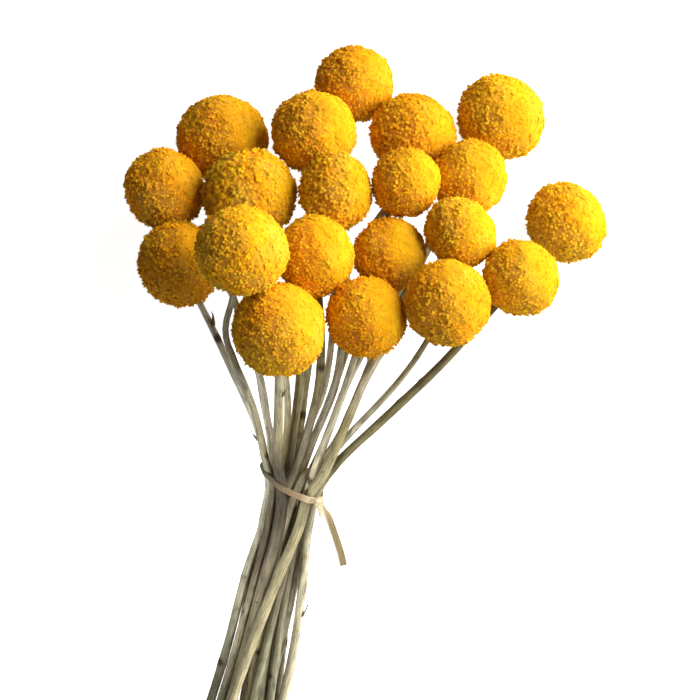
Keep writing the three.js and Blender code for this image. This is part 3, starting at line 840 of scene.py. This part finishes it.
def makeScale(number, material):
    name = f"leaf_scale_{number}"
    foot, reach, side, away = scaleFrame(name)
    outward = (away - reach * away.dot(reach) / reach.length_squared).normalized()
    sideways = reach.cross(outward).normalized()
    half = side.length * leafShape["wide"]
    deselectAll()
    bpy.ops.mesh.primitive_grid_add(x_subdivisions=leafShape["steps"][0],
                                    y_subdivisions=leafShape["steps"][1], size=2)
    leaf = bpy.context.object
    shade, = addAttributes(leaf, shade="FLOAT")
    for v in leaf.data.vertices:
        share = (v.co.x + 1) / 2
        across = v.co.y
        belly = 1 + leafShape["belly"] * math.sin(share * math.pi)
        width = half * (1 - share ** leafShape["taper"]) * belly + leafShape["tip"]
        ripple = noise.noise(Vector((share * 3, across, int(number) * 3.7)))
        cup = -leafShape["cup"] * width * across * across * (1 - share)
        lift = (leafShape["ripple"] * ripple * share - leafShape["hug"] * share
                - leafShape["intoStem"] * (1 - share) ** 2)
        shade.data[v.index].value = clamped(0.5 + ripple - 0.5 * share + 0.3 * (1 - abs(across)))
        v.co = (foot + reach * (share * leafShape["long"]) + sideways * (width * across)
                + outward * (cup + lift))
    bpy.ops.object.shade_smooth()
    solid = leaf.modifiers.new("thickness", "SOLIDIFY")
    solid.thickness = leafShape["thickness"]
    solid.offset = 0
    selectOnly(leaf)
    bpy.ops.object.modifier_apply(modifier="thickness")
    finishPiece(leaf, name, material)
    return len(leaf.data.polygons)


leafLook = {
    "brown": [(0.0, (0.10, 0.065, 0.035)), (0.5, (0.24, 0.16, 0.085)), (1.0, (0.42, 0.31, 0.18))],
    "mottle": (1800, 3, 0.6),
    "mottleTones": [(0.35, (0.6, 0.58, 0.55)), (0.65, (1.25, 1.22, 1.18))],
    "roughness": 0.8,
    "specular": 0.2,
}


def dryLeafMaterial():
    material, tree, links = newMaterial("dryLeaf")
    brown = ramped(tree, links, attribute(tree, "shade"), leafLook["brown"])
    place = tree.new("ShaderNodeTexCoord").outputs["Object"]
    mottle = noiseOver(tree, links, place, leafLook["mottle"])
    setShader(tree, links, leafLook, multiply(
        tree, links, brown, ramped(tree, links, mottle, leafLook["mottleTones"])))
    return material


dryLeafFinish = dryLeafMaterial()
print("leaf scales made, faces:", [makeScale(f"{n:02d}", dryLeafFinish) for n in range(1, 10)])


floretShape = {
    "sides": 5,
    "halfWidth": 0.95,        # the lengths are shares of the gap to the next floret
    "above": 1.2,             # from the core's skin to the tip
    "shoulder": 0.35,         # the widest place, as a share of that
    "below": 0.65,
}
headShape = {
    "coreInset": 0.1 * mm,    # the core's skin lies this far inside the CAD head
    "lumps": ((0.7 * mm, 6 * mm), (0.7 * mm, 2.6 * mm)),        # how high, how wide
    "bareAtStem": 2.4 * mm,
    "densest": 6.0e6,         # florets per square metre, before the gap thins them
    "sizes": ((0.75, 0.75, 0.35), (1.1, 1.25, 1.6)),            # least and most, in gaps
    "tilt": 0.62,
    "clumpScale": 600.0,      # florets stand in clumps, some higher than others
    "clumpDetail": 1.5,
    "clumpReach": (0.3, 0.7),     # the noise's own range
    "clumpRise": (-0.85 * mm, 0.25 * mm),
    "clumpTone": (-0.2, 0.2),
    "patchSize": 9 * mm,
    "sunnySide": Vector((0.88, 0.36, 0.3)).normalized(),        # florets are shut there, and their colour is painted lighter: painted light on the side facing the key lamp
    "sunnySharp": 1.5,
    "sunnyFrom": 0.6,
    "shutHeight": 0.4,        # of a shut floret, as a share of an open one's
    "paintedLightTip": 0.6,           # painted light: the core is painted as bright as the floret tips there, so no dark gaps show
    "paintedLightTone": 0.75,         # and the florets there are painted one even, light tone: painted light too
    "floorGap": 0.04 * mm,
}
# the gap between florets, and how much of the head is khaki, is orange, and has them shut and
# painted lighter towards the key lamp
headLooks = {
    "01": (0.76 * mm, 0.35, 0.62, 0.20),
    "02": (0.76 * mm, 0.35, 0.50, 0.20),
    "03": (0.76 * mm, 0.30, 0.45, 0.30),
    "04": (0.96 * mm, 0.25, 0.75, 0.20),
    "05": (0.87 * mm, 0.45, 0.15, 0.50),
    "06": (0.74 * mm, 0.45, 0.65, 0.10),
    "07": (1.05 * mm, 0.80, 0.10, -0.10),
    "08": (0.96 * mm, 0.55, 0.35, 0.30),
    "09": (0.78 * mm, 0.25, 0.36, 0.40),
    "10": (0.74 * mm, 0.25, 0.25, 0.60),
    "11": (0.89 * mm, 0.50, 0.02, 0.30),
    "12": (0.74 * mm, 0.40, 0.65, 0.10),
    "13": (0.76 * mm, 0.80, 0.05, 0.15),
    "14": (0.76 * mm, 0.25, 0.50, 0.50),
    "15": (0.78 * mm, 0.40, 0.45, 0.30),
    "16": (0.76 * mm, 0.50, 0.06, 0.40),
    "17": (0.76 * mm, 0.35, 0.10, 0.55),
    "18": (0.74 * mm, 0.50, 0.35, 0.35),
    "19": (0.76 * mm, 0.25, 0.60, 0.40),
    "20": (0.76 * mm, 0.45, 0.35, 0.50),
}


def makeFloret():
    deselectAll()
    bpy.ops.mesh.primitive_uv_sphere_add(segments=floretShape["sides"], ring_count=2, radius=1)
    floret = bpy.context.object
    floret.name = "floretPattern"
    height = floretShape["above"]
    for v in floret.data.vertices:
        if v.co.z > 0.5:
            v.co = (0, 0, height)
        elif v.co.z < -0.5:
            v.co = (0, 0, -floretShape["below"])
        else:
            v.co = (v.co.x * floretShape["halfWidth"], v.co.y * floretShape["halfWidth"],
                    height * floretShape["shoulder"])
    tip = floret.data.attributes.new("tip", "FLOAT", "POINT")
    for v in floret.data.vertices:
        tip.data[v.index].value = max(0, v.co.z / height)
    bpy.ops.object.shade_smooth()
    return floret


def headPlace(number):
    line = stemLines[number]
    up = (line[0][0] - line[1][0]).normalized()
    shell = cleanCopy(f"head_{number}")
    along = [v.co.dot(up) for v in shell.verts]
    root = line[0][0]
    radius = max((v.co - root - up * (v.co - root).dot(up)).length for v in shell.verts)
    halfHeights = 1.993     # in a CAD head's height, which its stem's socket cuts a little short
    shell.free()
    halfHeight = (max(along) - min(along)) / halfHeights
    middle = root + up * (max(along) - halfHeight - root.dot(up))
    return middle, up, radius, halfHeight


def scatterNodes(floret):
    group = bpy.data.node_groups.new("scatterFlorets", "GeometryNodeTree")
    for name, kind in (("Core", "Geometry"), ("Seed", "Int"), ("Gap", "Float")):
        group.interface.new_socket(name, in_out="INPUT", socket_type="NodeSocket" + kind)
    group.interface.new_socket("Head", in_out="OUTPUT", socket_type="NodeSocketGeometry")
    make, join = group.nodes.new, group.links.new
    given = make("NodeGroupInput")
    result = make("NodeGroupOutput")

    def named(name):
        reader = make("GeometryNodeInputNamedAttribute")
        reader.data_type = "FLOAT"
        reader.inputs["Name"].default_value = name
        return reader.outputs["Attribute"]

    def randomVector(least, most):
        draw = make("FunctionNodeRandomValue")
        draw.data_type = "FLOAT_VECTOR"
        draw.inputs["Min"].default_value = least
        draw.inputs["Max"].default_value = most
        join(given.outputs["Seed"], draw.inputs["Seed"])
        return draw.outputs[0]

    def scaled(vector, amount):
        product = make("ShaderNodeVectorMath")
        product.operation = "SCALE"
        join(vector, product.inputs["Vector"])
        join(amount, product.inputs["Scale"])
        return product.outputs["Vector"]

    def combined(operation, first, second, kind="ShaderNodeMath"):
        both = make(kind)
        both.operation = operation
        join(first, both.inputs[0])
        join(second, both.inputs[1])
        return both.outputs[0]

    def fromClump(value, least, most):
        reach = make("ShaderNodeMapRange")
        for name, edge in zip(("From Min", "From Max", "To Min", "To Max"),
                              (*headShape["clumpReach"], least, most)):
            reach.inputs[name].default_value = edge
        join(value, reach.inputs["Value"])
        return reach.outputs["Result"]

    def stored(geometry, name, value, domain):
        store = make("GeometryNodeStoreNamedAttribute")
        store.domain = domain
        store.data_type = "FLOAT"
        store.inputs["Name"].default_value = name
        join(geometry, store.inputs["Geometry"])
        join(value, store.inputs["Value"])
        return store.outputs["Geometry"]

    openness = named("open")
    spread = make("GeometryNodeDistributePointsOnFaces")
    spread.distribute_method = "POISSON"
    spread.inputs["Density Max"].default_value = headShape["densest"]
    join(given.outputs["Gap"], spread.inputs["Distance Min"])
    join(given.outputs["Core"], spread.inputs["Mesh"])
    join(named("room"), spread.inputs["Density Factor"])
    join(given.outputs["Seed"], spread.inputs["Seed"])

    tilt = headShape["tilt"]
    turn = make("FunctionNodeEulerToRotation")
    join(scaled(randomVector((-tilt, -tilt, 0), (tilt, tilt, math.tau)), openness), turn.inputs[0])
    turned = make("FunctionNodeRotateRotation")
    turned.rotation_space = "LOCAL"
    join(spread.outputs["Rotation"], turned.inputs[0])
    join(turn.outputs[0], turned.inputs[1])

    size = scaled(randomVector(*headShape["sizes"]), given.outputs["Gap"])
    openSize = make("ShaderNodeCombineXYZ")
    openSize.inputs["X"].default_value = openSize.inputs["Y"].default_value = 1
    join(openness, openSize.inputs["Z"])
    grown = combined("MULTIPLY", size, openSize.outputs["Vector"], "ShaderNodeVectorMath")

    place = make("GeometryNodeInputPosition")
    clump = make("ShaderNodeTexNoise")
    clump.inputs["Scale"].default_value = headShape["clumpScale"]
    clump.inputs["Detail"].default_value = headShape["clumpDetail"]
    join(place.outputs[0], clump.inputs["Vector"])
    rise = combined("MULTIPLY", fromClump(clump.outputs["Fac"], *headShape["clumpRise"]), openness)
    raised = make("GeometryNodeSetPosition")
    join(spread.outputs["Points"], raised.inputs["Geometry"])
    join(scaled(spread.outputs["Normal"], rise), raised.inputs["Offset"])
    seeds = stored(raised.outputs["Geometry"], "clump", clump.outputs["Fac"], "POINT")

    pattern = make("GeometryNodeObjectInfo")
    pattern.inputs["Object"].default_value = floret
    pattern.inputs["As Instance"].default_value = True
    plant = make("GeometryNodeInstanceOnPoints")
    join(seeds, plant.inputs["Points"])
    join(pattern.outputs["Geometry"], plant.inputs["Instance"])
    join(turned.outputs[0], plant.inputs["Rotation"])
    join(grown, plant.inputs["Scale"])

    tone = make("FunctionNodeRandomValue")
    tone.data_type = "FLOAT"
    mixed = combined("ADD", tone.outputs[1], fromClump(named("clump"), *headShape["clumpTone"]))
    # painted light: on the side facing the key lamp the florets' tones are drawn towards one light
    # tone
    evened = make("ShaderNodeMix")
    evened.data_type = "FLOAT"
    evened.inputs["A"].default_value = headShape["paintedLightTone"]
    join(openness, evened.inputs["Factor"])
    join(mixed, evened.inputs["B"])
    toned = stored(plant.outputs["Instances"], "tone", evened.outputs["Result"], "INSTANCE")
    real = make("GeometryNodeRealizeInstances")
    join(toned, real.inputs["Geometry"])
    both = make("GeometryNodeJoinGeometry")
    join(real.outputs["Geometry"], both.inputs["Geometry"])
    join(given.outputs["Core"], both.inputs["Geometry"])
    join(both.outputs["Geometry"], result.inputs["Head"])
    return group


def makeHead(number, scatter, material):
    middle, up, radius, halfHeight = headPlace(number)
    gap, khaki, orange, shut = headLooks[number]
    inset = headShape["coreInset"]
    deselectAll()
    bpy.ops.mesh.primitive_ico_sphere_add(subdivisions=4, radius=1)
    head = bpy.context.object
    head.matrix_world = (Matrix.Translation(middle)
                         @ up.to_track_quat("Z", "Y").to_matrix().to_4x4()
                         @ Matrix.Diagonal((radius - inset, radius - inset, halfHeight - inset, 1)))
    bpy.ops.object.transform_apply(location=True, rotation=True, scale=True)
    room, tone, tip, dull, warm, openness = addAttributes(
        head, room="FLOAT", tone="FLOAT", tip="FLOAT", dull="FLOAT", warm="FLOAT", open="FLOAT")
    for v in head.data.vertices:
        out = (v.co - middle).normalized()
        v.co += out * sum(height * noise.noise(v.co / width)
                          for height, width in headShape["lumps"])
        onStem = (v.co - middle - up * (v.co - middle).dot(up)).length
        atStem = out.dot(up) < 0 and onStem < headShape["bareAtStem"]
        room.data[v.index].value = 0 if atStem else 1
        tone.data[v.index].value = 0.5
        patch = noise.noise(v.co / headShape["patchSize"])
        # painted light: sunny marks the side facing the key lamp, where florets are shut and the
        # colour is painted lighter and less orange
        sunny = clamped(out.dot(headShape["sunnySide"]) * headShape["sunnySharp"]
                        - headShape["sunnyFrom"] + shut - patch * 0.3)
        openness.data[v.index].value = 1 - (1 - headShape["shutHeight"]) * sunny
        # the core is painted as light as the floret tips on the lamp side, a painted light;
        # elsewhere it keeps the dark gap colour, a painted shade
        tip.data[v.index].value = headShape["paintedLightTip"] * sunny
        dull.data[v.index].value = khaki * clamped(0.45 - out.dot(up) * 0.35 + patch * 1.3)
        glow = noise.noise(v.co / headShape["patchSize"] * 0.7)
        # orange in patches, plus painted shade: a little more orange away from the key lamp
        warm.data[v.index].value = clamped(orange + glow * 0.6 + 0.16 - sunny * 0.08)
    bpy.ops.object.shade_smooth()
    modifier = head.modifiers.new("florets", "NODES")
    modifier.node_group = scatter
    modifier["Socket_1"] = int(number)
    modifier["Socket_2"] = gap
    bpy.ops.object.modifier_apply(modifier="florets")
    for v in head.data.vertices:
        v.co.z = max(v.co.z, headShape["floorGap"])
    finishPiece(head, f"head_{number}", material)
    return len(head.data.polygons)


floretLook = {              # each runs from the gaps between florets to their tips, darker and more orange in the gaps: painted shade
    "golden": [(0.0, (0.74, 0.335, 0.026)), (0.5, (0.89, 0.512, 0.011)),
               (1.0, (0.92, 0.54, 0.006))],
    "orange": [(0.0, (0.66, 0.24, 0.019)), (0.5, (0.85, 0.38, 0.009)), (1.0, (0.89, 0.43, 0.005))],
    "khaki": [(0.0, (0.50, 0.29, 0.045)), (0.5, (0.71, 0.485, 0.04)), (1.0, (0.81, 0.58, 0.034))],
    "byTone": [(0.0, (0.8, 0.72, 0.7)), (0.35, (0.94, 0.91, 0.9)), (0.75, (1.0, 1.0, 1.0)),
               (1.0, (1.02, 1.06, 1.1))],       # a floret's own tone, from dark to light
    "roughness": 0.85,
    "specular": 0.06,
    "glowThrough": 0.3,
    "glowColour": (1.0, 0.4, 0.06),
    "glowReach": 1.2 * mm,
}


def floretMaterial():
    material, tree, links = newMaterial("driedFlorets")
    tip = attribute(tree, "tip")
    golden, orange, khaki = (ramped(tree, links, tip, floretLook[name])
                             for name in ("golden", "orange", "khaki"))
    warmed = blend(tree, links, attribute(tree, "warm"), golden, orange)
    dulled = blend(tree, links, attribute(tree, "dull"), warmed, khaki)
    byTone = ramped(tree, links, attribute(tree, "tone"), floretLook["byTone"])
    shader = setShader(tree, links, floretLook, multiply(tree, links, dulled, byTone))
    shader.subsurface_method = "BURLEY"
    shader.inputs["Subsurface Weight"].default_value = floretLook["glowThrough"]
    shader.inputs["Subsurface Radius"].default_value = floretLook["glowColour"]
    shader.inputs["Subsurface Scale"].default_value = floretLook["glowReach"]
    return material


floretPattern = makeFloret()
scatterGroup = scatterNodes(floretPattern)
floretsFinish = floretMaterial()
headFaces = [makeHead(number, scatterGroup, floretsFinish) for number in stemNumbers]
bpy.data.objects.remove(floretPattern)
print("heads made, faces:", sum(headFaces), headFaces)
